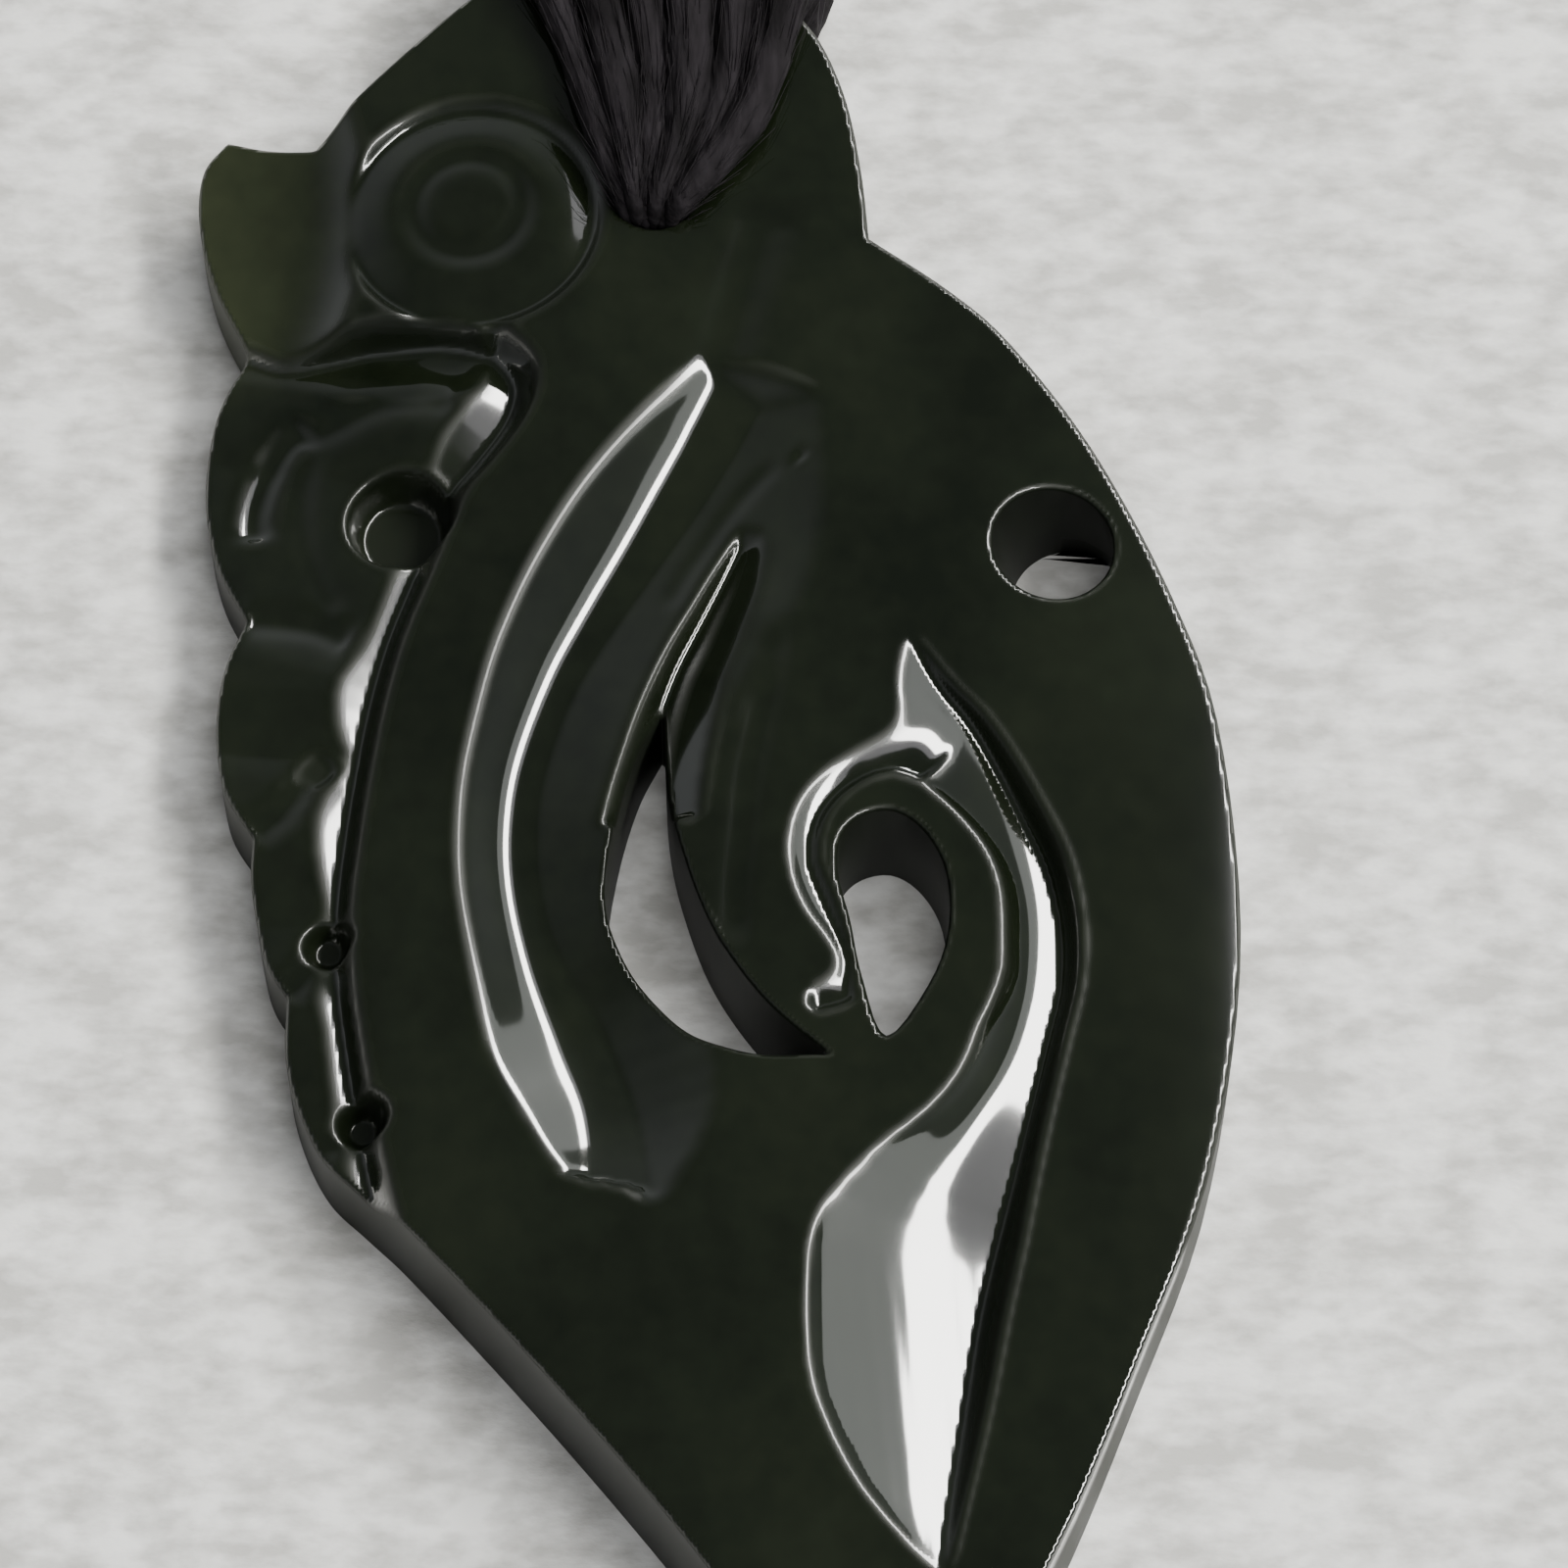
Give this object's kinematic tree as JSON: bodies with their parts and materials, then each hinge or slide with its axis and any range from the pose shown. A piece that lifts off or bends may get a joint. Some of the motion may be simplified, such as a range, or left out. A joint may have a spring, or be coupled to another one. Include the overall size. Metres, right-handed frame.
{
  "type": "manaia pendant",
  "caption": "Carved greenstone pendant in the shape of a manaia, with pierced openings and a cord lashing over its top edge that holds a channel for a neck cord.",
  "frame": {"origin": "on the surface that the pendant lies on, under the middle of its whole outline", "axes": "+Z out of the carved front, +Y from the stone's tip towards the lashing, +X towards the drilled hole and the blade's edge"},
  "size_m": [0.0358, 0.0716, 0.0076],
  "materials": {
    "greenstone": "polished",
    "cord": "matt, fuzzy"
  },
  "bodies": {
    "root": {"greenstone": "greenstone", "lashing": "cord", "cord_roll": "cord"}
  },
  "joints": []
}
